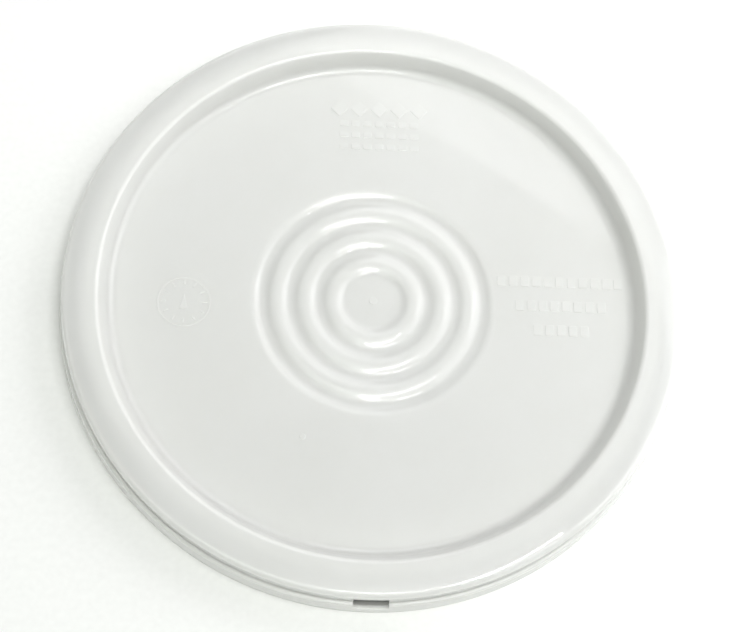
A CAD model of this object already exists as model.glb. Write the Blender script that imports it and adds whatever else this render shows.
import math
import bmesh
import bpy
from mathutils import Matrix, Vector


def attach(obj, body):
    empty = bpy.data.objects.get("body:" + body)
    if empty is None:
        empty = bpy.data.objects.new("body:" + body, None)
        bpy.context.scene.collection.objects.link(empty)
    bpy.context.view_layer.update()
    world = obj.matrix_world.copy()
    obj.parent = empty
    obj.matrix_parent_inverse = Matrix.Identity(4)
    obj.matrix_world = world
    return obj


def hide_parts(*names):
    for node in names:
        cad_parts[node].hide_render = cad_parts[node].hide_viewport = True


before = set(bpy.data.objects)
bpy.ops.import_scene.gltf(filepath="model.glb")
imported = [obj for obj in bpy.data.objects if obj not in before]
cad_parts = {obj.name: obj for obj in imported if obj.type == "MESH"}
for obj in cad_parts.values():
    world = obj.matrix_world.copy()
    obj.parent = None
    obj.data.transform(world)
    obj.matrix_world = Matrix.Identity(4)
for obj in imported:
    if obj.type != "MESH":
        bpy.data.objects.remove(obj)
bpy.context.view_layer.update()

MM = 0.001

# Section of the moulding, the same sizes as the CAD, in millimetres
HEIGHT = 23.0
WALL = 2.2
RIM_RADIUS = 154.8
RIM_ROUND = 3.0
RIM_FLAT_RADIUS = 138.6
RIM_CROWN_RADIUS = 141.3
RIM_FALL = 7.0
PANEL_RADIUS = 128.0
PANEL_TOP = 13.5
FOOT_ROUND = 6.1
BROW_ROUND = 2.8
RING_COUNT = 3
FIRST_RING_RADIUS = 27.3
RING_PITCH = 14.0
RING_DEPTH = 1.4
GROOVE_SHARE = 0.42
SKIRT_WALL = 2.0
UPPER_SKIRT_RADIUS = 154.0
BAND_RADIUS = 156.2
BAND_TOP = 11.5
BAND_ROUND = 1.2
BAND_CORNER = 0.6
EDGE_ROUND = 0.7
LOCK_RADIUS = 151.6
LOCK_FOOT_RADIUS = 153.4
LOCK_LAND_LOW = 2.2
LOCK_LAND_HIGH = 3.4
LOCK_TOP = 5.6
WINDOW_COUNT = 4
WINDOW_WIDTH = 17.0
WINDOW_LOW = 6.8
WINDOW_HIGH = 14.8
WINDOW_EDGE = 0.3          # rounding of the windows' edges
FRAME_WIDTH = 20.8         # seams that the side cores of the mould leave around each window
SEAM = 0.35
SEAM_DEPTH = 0.1
SEAM_LOW = 0.6             # where the seams start, above the bottom edge
SKIRT_START = 153.0        # everything outside this radius on the top side is skirt
PLUG_INNER = 140.5
PLUG_OUTER = 142.7
PLUG_BOTTOM = 9.5
PLUG_LEAD = 0.7
GUSSET_COUNT = 24
GUSSET_WIDTH = 1.6
GUSSET_BOTTOM = 14.0
GASKET_INNER = 143.6
GASKET_OUTER = 149.4
GASKET_HEIGHT = 4.0
GASKET_GAP = 0.3
GASKET_ROUND = 1.1

RIM_UNDERSIDE = HEIGHT - WALL
RING_BOTTOM = PANEL_TOP - RING_DEPTH
FALL = math.radians(RIM_FALL)
CROWN_END = RIM_RADIUS - RIM_ROUND * (1 - math.sin(FALL))
CROWN = (CROWN_END - RIM_CROWN_RADIUS) / math.sin(FALL)
SHOULDER = HEIGHT - CROWN * (1 - math.cos(FALL)) - RIM_ROUND * math.cos(FALL)
LIP_ROUND = RIM_RADIUS - UPPER_SKIRT_RADIUS
UPPER_SKIRT_TOP = SHOULDER - LIP_ROUND
UPPER_SKIRT_INNER = UPPER_SKIRT_RADIUS - SKIRT_WALL
BAND_INNER = BAND_RADIUS - SKIRT_WALL
WINDOW_STEP = 360 / WINDOW_COUNT
WINDOW_ANGLE = 2 * math.degrees(math.asin(WINDOW_WIDTH / 2 / UPPER_SKIRT_RADIUS))
SEAM_ANGLE = math.degrees(FRAME_WIDTH / 2 / UPPER_SKIRT_RADIUS)
FOOT = (PANEL_RADIUS, PANEL_TOP + FOOT_ROUND)
BROW = (RIM_FLAT_RADIUS, HEIGHT - BROW_ROUND)

# Small roundings and corners that the eye needs and the CAD leaves out
HUB = 0.4                  # radius of the hole at the axis, closed at the end
NICK = 0.3                 # size of the small corners inside the skirt and on the plug ring
ROOT = 0.5                 # rounding where the plug ring meets the rim
GUSSET_SUNK = 0.4          # how far a gusset's edges reach into the walls it joins
GUSSET_EDGE = 0.3
GASKET_EDGE = 0.4
GASKET_GROOVE = 0.28       # depth of the line round the middle of the gasket's underside
GASKET_STEPS = 360

# Low raised marks on the panel: plain shapes, with no lettering
MARK_HEIGHT = 0.3
MARK_EDGE = 0.16
MARK_SUNK = 0.1            # how far a mark's foot reaches into the panel
MAKER_CENTRE = (2.5, 97.0)
MAKER_LOZENGES = 5
LOZENGE_SIZE = 6.4
LOZENGE_PITCH = 10.4
MAKER_ROWS = 3
MAKER_ROW_WIDTH = 41.0
MAKER_ROW_PITCH = 6.6
MAKER_BAR_HEIGHT = 3.0
MAKER_BAR_COUNT = 7
OPENING_CENTRE = (94.8, 0.0)
OPENING_ROWS = (64.0, 46.0, 28.0)
OPENING_ROW_PITCH = 13.2
OPENING_BAR_HEIGHT = 5.6
OPENING_BAR_PITCH = 5.8
BAR_GAP = 1.6
BAR_CORNER = 0.35
DIAL_CENTRE = (-94.5, -4.5)
DIAL_RADIUS = 13.5
DIAL_LINE = 1.0
DIAL_TICK = 2.6
DIAL_TICKS = 12
DIAL_STEPS = 72
POINTER_WIDTH = 4.2
POINTER_LENGTH = 8.0
PIP_CENTRE = (-34.1, -73.4)
PIP_RADIUS = 1.5
PIP_STEPS = 24
PIP_EDGE = 0.2
GATE_RADIUS = 2.0
GATE_STEPS = 28

SAME = 1e-6                # degrees or millimetres within which two values are the same
SAME_POINT = 1e-4          # millimetres within which two points of the section are one


# ---------------------------------------------------------------- section

def wall_slope():
    """Angle from level of the countersink wall's straight stretch."""
    across = BROW[0] - FOOT[0]
    up = BROW[1] - FOOT[1]
    lean = math.asin((FOOT_ROUND + BROW_ROUND) / math.hypot(across, up))
    return math.degrees(math.atan2(up, across) + lean)


SLOPE = wall_slope()


def arc(centre, radius, start, end, steps):
    """Points along an arc of the section."""
    points = []
    for index in range(steps + 1):
        angle = math.radians(start + (end - start) * index / steps)
        points.append((centre[0] + radius * math.cos(angle), centre[1] + radius * math.sin(angle)))
    return points


def stretch(a, b, near=0.5):
    """A straight stretch with a support point close to each end."""
    length = math.hypot(b[0] - a[0], b[1] - a[1])
    if length < 4 * near:
        return [a, b]
    share = near / length
    inner = [(a[0] + (b[0] - a[0]) * t, a[1] + (b[1] - a[1]) * t) for t in (share, 1 - share)]
    return [a, *inner, b]


def joined(*runs):
    """The runs one after another, without doubled points."""
    points = []
    for run in runs:
        for point in run:
            if not points or math.dist(points[-1], point) > SAME_POINT:
                points.append(point)
    return points


def ripple(drop):
    """The sunk disc and the ripple rings, from near the axis to the flat panel's edge."""
    steep = 2 * math.degrees(math.atan(RING_DEPTH / (RING_PITCH / 2)))
    half = RING_PITCH / 2
    groove = GROOVE_SHARE * half / math.sin(math.radians(steep))
    ridge = (1 - GROOVE_SHARE) * half / math.sin(math.radians(steep))
    low = RING_BOTTOM - drop
    high = PANEL_TOP - drop
    disc = FIRST_RING_RADIUS - RING_PITCH
    runs = [stretch((HUB, low), (disc, low))]
    runs.append(arc((disc, low + groove), groove, -90, -90 + steep, steps=6))
    runs.append(arc((disc + half, high - ridge), ridge, 90 + steep, 90 - steep, steps=12))
    for index in range(RING_COUNT):
        middle = FIRST_RING_RADIUS + index * RING_PITCH
        crest_end = 90 if index == RING_COUNT - 1 else 90 - steep
        runs.append(arc((middle, low + groove), groove, -90 - steep, -90 + steep, steps=12))
        runs.append(arc((middle + half, high - ridge), ridge, 90 + steep, crest_end, steps=12))
    flat_start = FIRST_RING_RADIUS + (RING_COUNT - 0.5) * RING_PITCH
    runs.append(stretch((flat_start, high), (PANEL_RADIUS, high)))
    return joined(*runs)


def wall_side(offset):
    """One side of the countersink wall, from the panel to the rim."""
    foot = FOOT_ROUND + offset
    brow = BROW_ROUND - offset
    return joined(
        arc(FOOT, foot, -90, SLOPE - 90, steps=12),
        arc(BROW, brow, SLOPE + 90, 90, steps=14),
    )


def section():
    """The closed section, from the axis over the top to the skirt and back underneath."""
    corner = (UPPER_SKIRT_RADIUS + BAND_CORNER, BAND_TOP + BAND_CORNER)
    band_turn = (BAND_RADIUS - BAND_ROUND, BAND_TOP - BAND_ROUND)
    ceiling = BAND_TOP - SKIRT_WALL
    inner_round = (UPPER_SKIRT_INNER - LIP_ROUND, RIM_UNDERSIDE - LIP_ROUND)
    top = joined(
        ripple(0),
        wall_side(0),
        stretch((RIM_FLAT_RADIUS, HEIGHT), (RIM_CROWN_RADIUS, HEIGHT)),
        arc((RIM_CROWN_RADIUS, HEIGHT - CROWN), CROWN, 90, 90 - RIM_FALL, steps=8),
        arc((RIM_RADIUS - RIM_ROUND, SHOULDER), RIM_ROUND, 90 - RIM_FALL, 0, steps=12),
        arc((UPPER_SKIRT_RADIUS, SHOULDER), LIP_ROUND, 0, -90, steps=4),
        [(UPPER_SKIRT_RADIUS, UPPER_SKIRT_TOP - NICK)],
        [(UPPER_SKIRT_RADIUS, WINDOW_HIGH)],
        arc(corner, BAND_CORNER, 180, 270, steps=4),
        arc(band_turn, BAND_ROUND, 90, 0, steps=8),
        [(BAND_RADIUS, WINDOW_LOW)],
        arc((BAND_RADIUS - EDGE_ROUND, EDGE_ROUND), EDGE_ROUND, 0, -90, steps=6),
    )
    bead = joined(
        arc((LOCK_FOOT_RADIUS + NICK, NICK), NICK, -90, -150, steps=3),
        [(LOCK_RADIUS + 0.25, LOCK_LAND_LOW - NICK), (LOCK_RADIUS, LOCK_LAND_LOW + 0.1)],
        [(LOCK_RADIUS, LOCK_LAND_HIGH - 0.1), (LOCK_RADIUS + NICK, LOCK_LAND_HIGH + NICK)],
        [(BAND_INNER - 0.2, LOCK_TOP - 0.2), (BAND_INNER, LOCK_TOP + NICK)],
        [(BAND_INNER, WINDOW_LOW)],
        [(BAND_INNER, ceiling - NICK), (BAND_INNER - NICK, ceiling)],
        [(UPPER_SKIRT_INNER + NICK, ceiling), (UPPER_SKIRT_INNER, ceiling + NICK)],
        [(UPPER_SKIRT_INNER, WINDOW_HIGH)],
        arc(inner_round, LIP_ROUND, 0, 90, steps=5),
    )
    plug_out = (PLUG_OUTER + ROOT, RIM_UNDERSIDE - ROOT)
    plug_in = (PLUG_INNER - ROOT, RIM_UNDERSIDE - ROOT)
    plug = joined(
        stretch((inner_round[0], RIM_UNDERSIDE), (PLUG_OUTER + ROOT, RIM_UNDERSIDE)),
        arc(plug_out, ROOT, 90, 180, steps=4),
        stretch((PLUG_OUTER, RIM_UNDERSIDE - ROOT), (PLUG_OUTER, PLUG_BOTTOM + PLUG_LEAD)),
        [(PLUG_OUTER - PLUG_LEAD * 0.3, PLUG_BOTTOM + PLUG_LEAD * 0.3)],
        arc((PLUG_OUTER - PLUG_LEAD - 0.1, PLUG_BOTTOM + NICK), NICK, -60, -90, steps=2),
        arc((PLUG_INNER + NICK, PLUG_BOTTOM + NICK), NICK, -90, -180, steps=4),
        stretch((PLUG_INNER, PLUG_BOTTOM + NICK), (PLUG_INNER, RIM_UNDERSIDE - ROOT)),
        arc(plug_in, ROOT, 0, 90, steps=4),
    )
    under = joined(wall_side(WALL)[::-1], ripple(WALL)[::-1])
    return top, bead, plug, under


# ---------------------------------------------------------------- meshes

def finish_mesh(mesh, name, bevel=0.0, segments=2):
    """Turns a bmesh in millimetres into a smooth-shaded object in metres, with rounded edges if asked."""
    bmesh.ops.recalc_face_normals(mesh, faces=mesh.faces)
    data = bpy.data.meshes.new(name)
    mesh.to_mesh(data)
    mesh.free()
    data.transform(Matrix.Scale(MM, 4))
    data.polygons.foreach_set("use_smooth", [True] * len(data.polygons))
    piece = bpy.data.objects.new(name, data)
    bpy.context.collection.objects.link(piece)
    bpy.context.view_layer.objects.active = piece
    if bevel:
        rounding = piece.modifiers.new("rounding", "BEVEL")
        rounding.width = bevel * MM
        rounding.segments = segments
        rounding.limit_method = "ANGLE"
        rounding.angle_limit = math.radians(35)
        bpy.ops.object.modifier_apply(modifier=rounding.name)
    return piece


def clean_shading(piece, sharp=40):
    """Keeps edges steeper than an angle sharp, and lets the large faces set the normals."""
    piece.data.set_sharp_from_angle(angle=math.radians(sharp))
    bpy.context.view_layer.objects.active = piece
    weighted = piece.modifiers.new("weighted", "WEIGHTED_NORMAL")
    weighted.keep_sharp = True
    bpy.ops.object.modifier_apply(modifier=weighted.name)
    return piece


def fuse(piece, other):
    """Melts another closed mesh into a piece, as one moulding."""
    bpy.context.view_layer.objects.active = piece
    union = piece.modifiers.new("union", "BOOLEAN")
    union.operation = "UNION"
    union.solver = "MANIFOLD"
    union.object = other
    bpy.ops.object.modifier_apply(modifier=union.name)
    bpy.data.objects.remove(other)


def angles():
    """Angles of the mesh's columns: every degree, with columns at the windows' and seams' edges."""
    half = WINDOW_ANGLE / 2
    seam = math.degrees(SEAM / 2 / UPPER_SKIRT_RADIUS)
    found = []
    for side in range(WINDOW_COUNT):
        middle = side * WINDOW_STEP
        left = [-SEAM_ANGLE - seam, -SEAM_ANGLE, -SEAM_ANGLE + seam, -half]
        inside = [-half + 2 * half * step / 6 for step in range(1, 6)]
        right = [half, SEAM_ANGLE - seam, SEAM_ANGLE, SEAM_ANGLE + seam]
        found += [middle + offset for offset in left + inside + right]
        found += [middle + offset for offset in range(5, int(WINDOW_STEP) - 4)]
    return sorted(angle % 360 for angle in found)


def off_window(angle):
    """Degrees from an angle to the middle of the nearest window."""
    return abs((angle + WINDOW_STEP / 2) % WINDOW_STEP - WINDOW_STEP / 2)


def seam_depth(angle, height):
    """How far the skirt's outside is sunk at an angle and a height by a window's seam."""
    is_on_seam = abs(off_window(angle) - SEAM_ANGLE) < SAME
    return SEAM_DEPTH if is_on_seam and SEAM_LOW < height < WINDOW_HIGH + SAME else 0.0


def cover_body():
    """The moulding in one skin, with the windows cut through the skirt."""
    top, bead, plug, under = section()
    loop = joined(top, bead, plug, under)
    skirt_first = len(joined(ripple(0), wall_side(0)))
    columns = angles()
    mesh = bmesh.new()
    grid = []
    for angle in columns:
        turn = math.radians(angle)
        column = []
        for index, (radius, height) in enumerate(loop):
            is_outside = skirt_first < index < len(top)
            is_skirt = is_outside and radius > SKIRT_START
            reach = radius - (seam_depth(angle, height) if is_skirt else 0.0)
            column.append(mesh.verts.new((reach * math.cos(turn), reach * math.sin(turn), height)))
        grid.append(column)
    low_out = loop.index((BAND_RADIUS, WINDOW_LOW))
    high_out = loop.index((UPPER_SKIRT_RADIUS, WINDOW_HIGH))
    low_in = loop.index((BAND_INNER, WINDOW_LOW))
    high_in = loop.index((UPPER_SKIRT_INNER, WINDOW_HIGH))
    count = len(columns)
    for j in range(count):
        a, b = grid[j], grid[(j + 1) % count]
        middle = columns[j] + ((columns[(j + 1) % count] - columns[j]) % 360) / 2
        is_open = off_window(middle) < WINDOW_ANGLE / 2 - SAME
        for k in range(len(loop) - 1):
            if is_open and (high_out <= k < low_out or low_in <= k < high_in):
                continue
            mesh.faces.new((a[k], a[k + 1], b[k + 1], b[k]))
        if is_open:
            mesh.faces.new((a[high_out], b[high_out], b[high_in], a[high_in]))
            mesh.faces.new((a[low_in], b[low_in], b[low_out], a[low_out]))
    for angle, column in zip(columns, grid):
        if abs(off_window(angle) - WINDOW_ANGLE / 2) < SAME:
            mesh.faces.new(column[high_out:low_out + 1] + column[low_in:high_in + 1])
    close_centre(mesh, [column[0] for column in grid], RING_BOTTOM)
    close_centre(mesh, [column[-1] for column in grid], RING_BOTTOM - WALL)
    round_windows(mesh)
    return finish_mesh(mesh, "cover_moulding")


def close_centre(mesh, ring, height):
    """Closes the small hole at the axis."""
    hub = mesh.verts.new((0, 0, height))
    for a, b in zip(ring, ring[1:] + ring[:1]):
        mesh.faces.new((a, b, hub))


def round_windows(mesh):
    """Rounds the windows' sharp edges."""
    bmesh.ops.recalc_face_normals(mesh, faces=mesh.faces)
    limit = math.radians(70)
    slack = 0.01
    inside = LOCK_RADIUS - ROOT
    edges = []
    for edge in mesh.edges:
        middle = (edge.verts[0].co + edge.verts[1].co) / 2
        away = off_window(math.degrees(math.atan2(middle.y, middle.x)))
        is_near = away < WINDOW_ANGLE / 2 + slack and middle.xy.length > inside
        is_level = WINDOW_LOW - slack < middle.z < WINDOW_HIGH + slack
        if is_near and is_level and len(edge.link_faces) == 2 and edge.calc_face_angle() > limit:
            edges.append(edge)
    bmesh.ops.bevel(
        mesh, geom=edges, offset=WINDOW_EDGE, segments=2, profile=0.5, affect="EDGES", clamp_overlap=True
    )


def gussets():
    """Thin radial gussets between the countersink wall and the plug ring."""
    mesh = bmesh.new()
    side = [point for point in wall_side(WALL) if point[1] > GUSSET_BOTTOM]
    foot = FOOT_ROUND + WALL
    start = math.asin((GUSSET_BOTTOM - FOOT[1]) / foot)
    first = (FOOT[0] + foot * math.cos(start), GUSSET_BOTTOM)
    outline = [(r - GUSSET_SUNK * 0.7, z + GUSSET_SUNK * 0.3) for r, z in [first, *side]]
    reach = PLUG_INNER + GUSSET_SUNK
    outline += [(reach, RIM_UNDERSIDE + GUSSET_SUNK), (reach, GUSSET_BOTTOM)]
    for index in range(GUSSET_COUNT):
        turn = math.radians((index + 0.5) * 360 / GUSSET_COUNT)
        across = Vector((-math.sin(turn), math.cos(turn), 0)) * GUSSET_WIDTH / 2
        sides = []
        for sign in (-1, 1):
            spots = [Vector((r * math.cos(turn), r * math.sin(turn), z)) + across * sign for r, z in outline]
            sides.append([mesh.verts.new(spot) for spot in spots])
        mesh.faces.new(sides[0])
        mesh.faces.new(sides[1][::-1])
        for i in range(len(outline)):
            j = (i + 1) % len(outline)
            mesh.faces.new((sides[0][i], sides[1][i], sides[1][j], sides[0][j]))
    return finish_mesh(mesh, "gussets", bevel=GUSSET_EDGE)


def prism(mesh, outline, level=PANEL_TOP):
    """A low prism with this outline, its foot sunk a little into the panel."""
    low = [mesh.verts.new((x, y, level - MARK_SUNK)) for x, y in outline]
    high = [mesh.verts.new((x, y, level + MARK_HEIGHT)) for x, y in outline]
    mesh.faces.new(low[::-1])
    mesh.faces.new(high)
    for i in range(len(outline)):
        j = (i + 1) % len(outline)
        mesh.faces.new((low[i], low[j], high[j], high[i]))


def box_outline(x, y, width, height):
    """A rectangle with cut corners, as points."""
    a, b, c = width / 2, height / 2, min(BAR_CORNER, width / 4, height / 4)
    return [
        (x - a + c, y - b), (x + a - c, y - b), (x + a, y - b + c), (x + a, y + b - c),
        (x + a - c, y + b), (x - a + c, y + b), (x - a, y + b - c), (x - a, y - b + c),
    ]


def bars(mesh, centre, width, height, count):
    """A centred row of equal plain bars."""
    pitch = (width + BAR_GAP) / count
    first = centre[0] - (width - pitch + BAR_GAP) / 2
    for index in range(count):
        prism(mesh, box_outline(first + index * pitch, centre[1], pitch - BAR_GAP, height))


def circle_outline(x, y, radius, steps):
    """A circle as points."""
    turns = [2 * math.pi * step / steps for step in range(steps)]
    return [(x + radius * math.cos(turn), y + radius * math.sin(turn)) for turn in turns]


def maker_mark():
    """A row of lozenges over rows of bars."""
    mesh = bmesh.new()
    reach = LOZENGE_SIZE / math.sqrt(2)
    y = MAKER_CENTRE[1] + MAKER_ROW_PITCH * 1.6
    for index in range(MAKER_LOZENGES):
        x = MAKER_CENTRE[0] + (index - (MAKER_LOZENGES - 1) / 2) * LOZENGE_PITCH
        prism(mesh, [(x - reach, y), (x, y - reach), (x + reach, y), (x, y + reach)])
    for row in range(MAKER_ROWS):
        centre = (MAKER_CENTRE[0], MAKER_CENTRE[1] + MAKER_ROW_PITCH * (0.3 - row))
        bars(mesh, centre, MAKER_ROW_WIDTH, MAKER_BAR_HEIGHT, MAKER_BAR_COUNT)
    return finish_mesh(mesh, "maker_mark_bars", bevel=MARK_EDGE)


def opening_mark():
    """Rows of bars, each row shorter than the one above."""
    mesh = bmesh.new()
    for row, width in enumerate(OPENING_ROWS):
        centre = (OPENING_CENTRE[0], OPENING_CENTRE[1] + OPENING_ROW_PITCH * (1 - row))
        bars(mesh, centre, width, OPENING_BAR_HEIGHT, round(width / OPENING_BAR_PITCH))
    return finish_mesh(mesh, "opening_mark_bars", bevel=MARK_EDGE)


def date_dial():
    """A moulder's date dial: a ring, ticks inside it and a pointer."""
    mesh = bmesh.new()
    x, y = DIAL_CENTRE
    rings = []
    for reach in (DIAL_RADIUS, DIAL_RADIUS - DIAL_LINE):
        for level in (PANEL_TOP - MARK_SUNK, PANEL_TOP + MARK_HEIGHT):
            outline = circle_outline(x, y, reach, DIAL_STEPS)
            rings.append([mesh.verts.new((*spot, level)) for spot in outline])
    for a, b in ((0, 1), (1, 3), (3, 2), (2, 0)):
        for i in range(DIAL_STEPS):
            j = (i + 1) % DIAL_STEPS
            mesh.faces.new((rings[a][i], rings[a][j], rings[b][j], rings[b][i]))
    reach = DIAL_RADIUS - 2 * DIAL_LINE - DIAL_TICK / 2
    for index in range(DIAL_TICKS):
        turn = Matrix.Rotation(2 * math.pi * index / DIAL_TICKS, 2)
        corners = [turn @ Vector(spot) for spot in box_outline(reach, 0, DIAL_TICK, DIAL_LINE)]
        prism(mesh, [(x + corner.x, y + corner.y) for corner in corners])
    across, along = POINTER_WIDTH / 2, POINTER_LENGTH / 2
    prism(mesh, [(x - across, y - along), (x + across, y - along), (x, y + along)])
    return finish_mesh(mesh, "date_dial_bars", bevel=MARK_EDGE)


def small_marks():
    """The pip left by a pin of the mould, and the sprue's scar in the middle."""
    pip = bmesh.new()
    prism(pip, circle_outline(*PIP_CENTRE, PIP_RADIUS, PIP_STEPS))
    gate = bmesh.new()
    prism(gate, circle_outline(0, 0, GATE_RADIUS, GATE_STEPS), RING_BOTTOM)
    return (
        finish_mesh(pip, "pip", bevel=PIP_EDGE, segments=3),
        finish_mesh(gate, "gate_scar", bevel=MARK_EDGE),
    )


def cover():
    """The whole moulding, with its gussets and marks melted in."""
    piece = cover_body()
    for other in (gussets(), maker_mark(), opening_mark(), date_dial(), *small_marks()):
        fuse(piece, other)
    return clean_shading(piece)


def gasket():
    """Soft ring in the top of the channel, with a fine line round its underside."""
    top = RIM_UNDERSIDE - GASKET_GAP
    bottom = top - GASKET_HEIGHT
    soft = GASKET_EDGE
    inner, outer = GASKET_INNER, GASKET_OUTER
    groove = (inner + outer) / 2
    loop = joined(
        arc((inner + soft, top - soft), soft, 180, 90, steps=4),
        arc((outer - soft, top - soft), soft, 90, 0, steps=4),
        arc((outer - GASKET_ROUND, bottom + GASKET_ROUND), GASKET_ROUND, 0, -90, steps=6),
        [(groove + 0.7, bottom), (groove + 0.35, bottom + 0.2), (groove, bottom + GASKET_GROOVE)],
        [(groove - 0.35, bottom + 0.2), (groove - 0.7, bottom)],
        arc((inner + GASKET_ROUND, bottom + GASKET_ROUND), GASKET_ROUND, -90, -180, steps=6),
    )
    mesh = bmesh.new()
    grid = []
    for step in range(GASKET_STEPS):
        turn = 2 * math.pi * step / GASKET_STEPS
        grid.append([mesh.verts.new((r * math.cos(turn), r * math.sin(turn), z)) for r, z in loop])
    for j in range(GASKET_STEPS):
        a, b = grid[j], grid[(j + 1) % GASKET_STEPS]
        for k in range(len(loop)):
            m = (k + 1) % len(loop)
            mesh.faces.new((a[k], a[m], b[m], b[k]))
    return clean_shading(finish_mesh(mesh, "gasket_ring"), sharp=60)


# ---------------------------------------------------------------- materials

class Nodes:
    """Short helpers to wire a procedural material."""

    def __init__(self, name):
        self.material = bpy.data.materials.new(name)
        self.material.use_nodes = True
        self.tree = self.material.node_tree
        self.shader = self.tree.nodes["Principled BSDF"]
        self.place = self.add("ShaderNodeTexCoord").outputs["Object"]

    def add(self, kind, **settings):
        node = self.tree.nodes.new(kind)
        for key, value in settings.items():
            setattr(node, key, value)
        return node

    def link(self, source, target):
        self.tree.links.new(source, target)

    def noise(self, scale, detail=2.0, vector=None):
        """A noise whose features are about 1/scale metres wide."""
        node = self.add("ShaderNodeTexNoise")
        node.inputs["Scale"].default_value = scale
        node.inputs["Detail"].default_value = detail
        node.inputs["Roughness"].default_value = 0.5
        self.link(vector or self.place, node.inputs["Vector"])
        return node.outputs["Fac"]

    def span(self, value, low, high, start=0.0, end=1.0):
        """Maps a value's low..high to start..end."""
        node = self.add("ShaderNodeMapRange")
        self.link(value, node.inputs["Value"])
        for key, number in zip(("From Min", "From Max", "To Min", "To Max"), (low, high, start, end)):
            node.inputs[key].default_value = number
        return node.outputs["Result"]

    def math(self, operation, a, b=0.0):
        """One arithmetic step; b is a number or a socket."""
        node = self.add("ShaderNodeMath", operation=operation)
        self.link(a, node.inputs[0])
        if isinstance(b, (int, float)):
            node.inputs[1].default_value = b
        else:
            self.link(b, node.inputs[1])
        return node.outputs["Value"]

    def ramp(self, value, stops):
        """A colour ramp over a value."""
        node = self.add("ShaderNodeValToRGB")
        self.link(value, node.inputs["Fac"])
        ramp = node.color_ramp
        while len(ramp.elements) < len(stops):
            ramp.elements.new(0.5)
        for element, (position, colour) in zip(ramp.elements, stops):
            element.position = position
            element.color = (*colour, 1.0)
        return node.outputs["Color"]

    def bump(self, height, distance, strength, normal=None):
        """A bump of a real height in metres."""
        node = self.add("ShaderNodeBump")
        node.inputs["Strength"].default_value = strength
        node.inputs["Distance"].default_value = distance
        self.link(height, node.inputs["Height"])
        if normal is not None:
            self.link(normal, node.inputs["Normal"])
        return node.outputs["Normal"]


def moulded_plastic():
    """White moulded polyethylene: glossy, slightly see-through, with flow waviness and fine scuffs."""
    n = Nodes("white_polyethylene")
    broad = n.noise(scale=9.0, detail=2.0)
    mottle = n.noise(scale=60.0, detail=3.0)
    tone = n.math("ADD", n.math("MULTIPLY", broad, 0.7), n.math("MULTIPLY", mottle, 0.3))
    stops = [(0.3, (0.895, 0.893, 0.848)), (0.5, (0.912, 0.91, 0.872)), (0.7, (0.925, 0.922, 0.895))]
    colour = n.ramp(tone, stops)
    n.link(colour, n.shader.inputs["Base Color"])
    grain = n.noise(scale=2600.0, detail=2.0)
    wave = n.noise(scale=38.0, detail=1.0)
    scuff_stretch = n.add("ShaderNodeMapping")
    scuff_stretch.inputs["Scale"].default_value = (90.0, 1500.0, 200.0)
    scuff_stretch.inputs["Rotation"].default_value = (0.0, 0.0, 0.6)
    n.link(n.place, scuff_stretch.inputs["Vector"])
    scuffs = n.noise(scale=1.0, vector=scuff_stretch.outputs["Vector"])
    scuff_mask = n.span(scuffs, 0.66, 0.72)
    sheen = n.math("ADD", n.span(broad, 0.3, 0.7, 0.3, 0.4), n.math("MULTIPLY", scuff_mask, 0.06))
    n.link(sheen, n.shader.inputs["Roughness"])
    normal = n.bump(wave, distance=0.00025, strength=0.5)
    normal = n.bump(grain, distance=0.000006, strength=0.6, normal=normal)
    n.link(normal, n.shader.inputs["Normal"])
    n.shader.inputs["IOR"].default_value = 1.52
    n.shader.inputs["Coat Weight"].default_value = 0.7
    n.shader.inputs["Coat Roughness"].default_value = 0.035
    n.shader.inputs["Subsurface Weight"].default_value = 1.0
    n.shader.inputs["Subsurface Radius"].default_value = (1.0, 1.0, 1.0)
    n.shader.inputs["Subsurface Scale"].default_value = 0.009
    return n.material


def soft_rubber():
    """Pale grey extruded rubber: matte, with fine length-wise lines and a little bloom."""
    n = Nodes("pale_grey_rubber")
    split = n.add("ShaderNodeSeparateXYZ")
    n.link(n.place, split.inputs["Vector"])
    x_squared = n.math("MULTIPLY", split.outputs["X"], split.outputs["X"])
    y_squared = n.math("MULTIPLY", split.outputs["Y"], split.outputs["Y"])
    radius = n.math("SQRT", n.math("ADD", x_squared, y_squared))
    lines_at = n.add("ShaderNodeCombineXYZ")
    lines_per_metre = 900.0
    n.link(n.math("MULTIPLY", radius, lines_per_metre), lines_at.inputs["X"])
    n.link(n.math("MULTIPLY", split.outputs["Z"], lines_per_metre), lines_at.inputs["Y"])
    lines = n.noise(scale=1.5, vector=lines_at.outputs["Vector"])
    bloom = n.noise(scale=120.0, detail=4.0)
    tone = n.math("ADD", n.math("MULTIPLY", lines, 0.5), n.math("MULTIPLY", bloom, 0.5))
    colour = n.ramp(tone, [(0.3, (0.55, 0.56, 0.54)), (0.7, (0.66, 0.67, 0.65))])
    n.link(colour, n.shader.inputs["Base Color"])
    n.link(n.span(bloom, 0.3, 0.7, 0.62, 0.78), n.shader.inputs["Roughness"])
    normal = n.bump(lines, distance=0.00003, strength=0.6)
    normal = n.bump(n.noise(scale=1800.0), distance=0.00001, strength=0.6, normal=normal)
    n.link(normal, n.shader.inputs["Normal"])
    return n.material


# ---------------------------------------------------------------- pieces on the frame

def mount_piece(piece, body, material, slot, *nodes):
    """Gives a piece its material and its body, in place of CAD nodes."""
    piece.data.materials.clear()
    piece.data.materials.append(material)
    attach(piece, body)
    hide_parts(*nodes)


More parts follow.
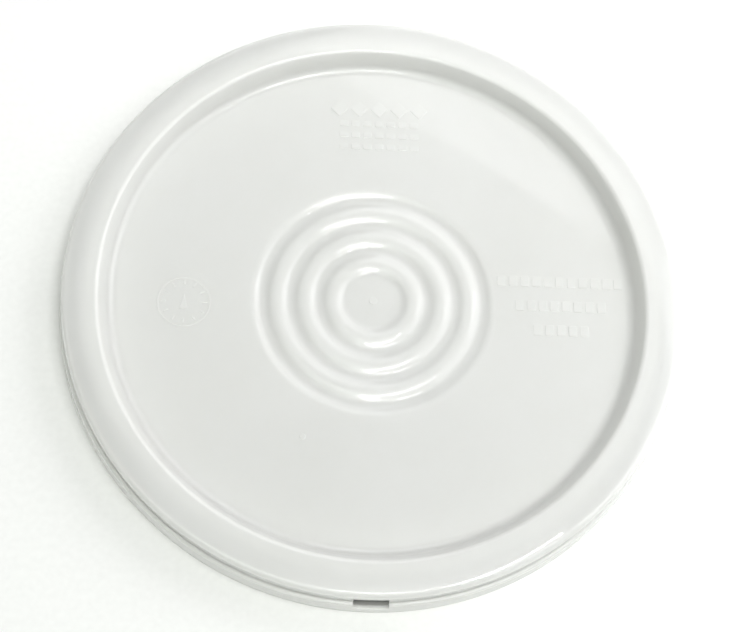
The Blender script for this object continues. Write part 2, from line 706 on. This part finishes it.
plastic = moulded_plastic()
rubber = soft_rubber()
quarters = [f"skirt_quarter_{side + 1}" for side in range(WINDOW_COUNT)]
strips = [f"cut_strip_{side + 1}" for side in range(WINDOW_COUNT)]
regions = ["centre_panel", "countersink_wall", "rim_crown", "upper_skirt", "plug_ring", "plug_gussets"]
marks = ["maker_mark", "opening_mark", "date_dial", "pip_mark", "gate_mark"]
mount_piece(cover(), "cover", plastic, "cover_plastic", *regions, *quarters, *strips, *marks)
mount_piece(gasket(), "gasket", rubber, "gasket_rubber", "gasket")


# ---------------------------------------------------------------- floor, light, camera

FLOOR_REACH = 6.0          # metres from the axis to the floor's edge

# The surroundings: an even level, and soft patches as (side, height, spread, strength),
# with compass side, height and spread in degrees
SKY_LEVEL = 0.065
SKY_PATCHES = (
    (270.0, 66.0, 44.0, 1.33),
    (225.0, 62.0, 44.0, 0.58),
    (0.0, 12.0, 53.0, 0.08),
)
SKY_COLOUR = (0.96, 1.0, 0.93, 1.0)

# Three long tubes overhead, whose glints run along the ripple rings
TUBE_COUNT = 3
TUBE_SIDE = 311.0
TUBE_HEIGHT = 76.0
TUBE_DISTANCE = 2.2
TUBE_SIZE = (1.05, 0.04)
TUBE_POWER = 4.8
TUBE_PITCH = 0.19

# Square lamps as (name, side, height, size, power), all at one distance
LAMP_DISTANCE = 0.95
LAMPS = (
    ("lamp_right", 5.0, 38.0, 0.8, 3.8),
    ("lamp_back", 58.0, 36.0, 0.8, 3.45),
    ("lamp_left", 150.0, 40.0, 0.8, 0.27),
    ("lamp_high", 100.0, 60.0, 0.5, 0.45),
)

# The viewpoint: about a metre away, steeply from above, rolled a little
EYE_HEIGHT = 66.61         # degrees above the lid's plane
EYE_SIDE = 259.2
EYE_ROLL = 12.06
EYE_DISTANCE = 0.9959
LENS = 96.2
SHIFT = (0.0002, -0.0314)
VIEW_DEPTH = 50.0


def towards(side, height):
    """The direction of a compass side and a height, both in degrees."""
    turn = math.radians(side)
    rise = math.radians(height)
    return Vector((math.cos(rise) * math.cos(turn), math.cos(rise) * math.sin(turn), math.sin(rise)))


def floor():
    """A plain pale floor under the skirt's edge."""
    mesh = bmesh.new()
    bmesh.ops.create_grid(mesh, x_segments=1, y_segments=1, size=FLOOR_REACH)
    data = bpy.data.meshes.new("floor")
    mesh.to_mesh(data)
    mesh.free()
    ground = bpy.data.objects.new("floor", data)
    bpy.context.collection.objects.link(ground)
    n = Nodes("pale_floor")
    speckle = n.noise(scale=300.0, detail=3.0)
    tone = n.ramp(speckle, [(0.3, (0.87, 0.87, 0.87)), (0.7, (0.9, 0.9, 0.9))])
    n.link(tone, n.shader.inputs["Base Color"])
    n.shader.inputs["Roughness"].default_value = 0.9
    n.shader.inputs["Specular IOR Level"].default_value = 0.1
    data.materials.append(n.material)


def soft_light(name, side, height, distance, size, power, shift=0.0):
    """A large lamp that faces the lid, at a compass side and a height in degrees."""
    data = bpy.data.lights.new(name, "AREA")
    data.shape = "RECTANGLE"
    data.size, data.size_y = size
    data.energy = power
    lamp = bpy.data.objects.new(name, data)
    away = towards(side, height)
    lamp.location = away * distance + Vector((0.0, shift, 0.0))
    lamp.rotation_euler = away.to_track_quat("Z", "Y").to_euler()
    bpy.context.collection.objects.link(lamp)


def sky():
    """An even dim surrounding with brighter soft patches, added up in the world's shader."""
    world = bpy.data.worlds.new("studio")
    world.use_nodes = True
    tree = world.node_tree
    backdrop = tree.nodes["Background"]
    place = tree.nodes.new("ShaderNodeTexCoord")
    total = None
    for side, height, spread, strength in SKY_PATCHES:
        nearness = tree.nodes.new("ShaderNodeVectorMath")
        nearness.operation = "DOT_PRODUCT"
        nearness.inputs[1].default_value = towards(side, height)
        tree.links.new(place.outputs["Generated"], nearness.inputs[0])
        patch = tree.nodes.new("ShaderNodeMapRange")
        patch.interpolation_type = "SMOOTHSTEP"
        edge = math.cos(math.radians(spread))
        for key, number in zip(("From Min", "From Max", "To Min", "To Max"), (edge, 1.0, 0.0, strength)):
            patch.inputs[key].default_value = number
        tree.links.new(nearness.outputs["Value"], patch.inputs["Value"])
        add = tree.nodes.new("ShaderNodeMath")
        tree.links.new(patch.outputs["Result"], add.inputs[0])
        add.inputs[1].default_value = SKY_LEVEL
        if total is not None:
            tree.links.new(total, add.inputs[1])
        total = add.outputs["Value"]
    tree.links.new(total, backdrop.inputs["Strength"])
    backdrop.inputs["Color"].default_value = SKY_COLOUR
    bpy.context.scene.world = world


def camera():
    """Looks at the middle of the rim's plane, with a small shift to centre the lid."""
    away = towards(EYE_SIDE, EYE_HEIGHT)
    data = bpy.data.cameras.new("camera")
    data.lens = LENS
    data.sensor_width = 36.0
    data.shift_x, data.shift_y = SHIFT
    data.clip_end = VIEW_DEPTH
    eye = bpy.data.objects.new("camera", data)
    spot = Vector((0.0, 0.0, HEIGHT * MM)) + away * EYE_DISTANCE
    look = (-away).to_track_quat("-Z", "Y").to_matrix().to_4x4()
    eye.matrix_world = Matrix.Translation(spot) @ look @ Matrix.Rotation(math.radians(EYE_ROLL), 4, "Z")
    bpy.context.collection.objects.link(eye)
    bpy.context.scene.camera = eye


floor()
sky()
for tube in range(TUBE_COUNT):
    offset = TUBE_PITCH * (tube - (TUBE_COUNT - 1) / 2)
    soft_light(f"tube_{tube}", TUBE_SIDE, TUBE_HEIGHT, TUBE_DISTANCE, TUBE_SIZE, TUBE_POWER, offset)
for name, side, height, size, power in LAMPS:
    soft_light(name, side, height, LAMP_DISTANCE, (size, size), power)
camera()
bpy.context.scene.view_settings.view_transform = "Standard"
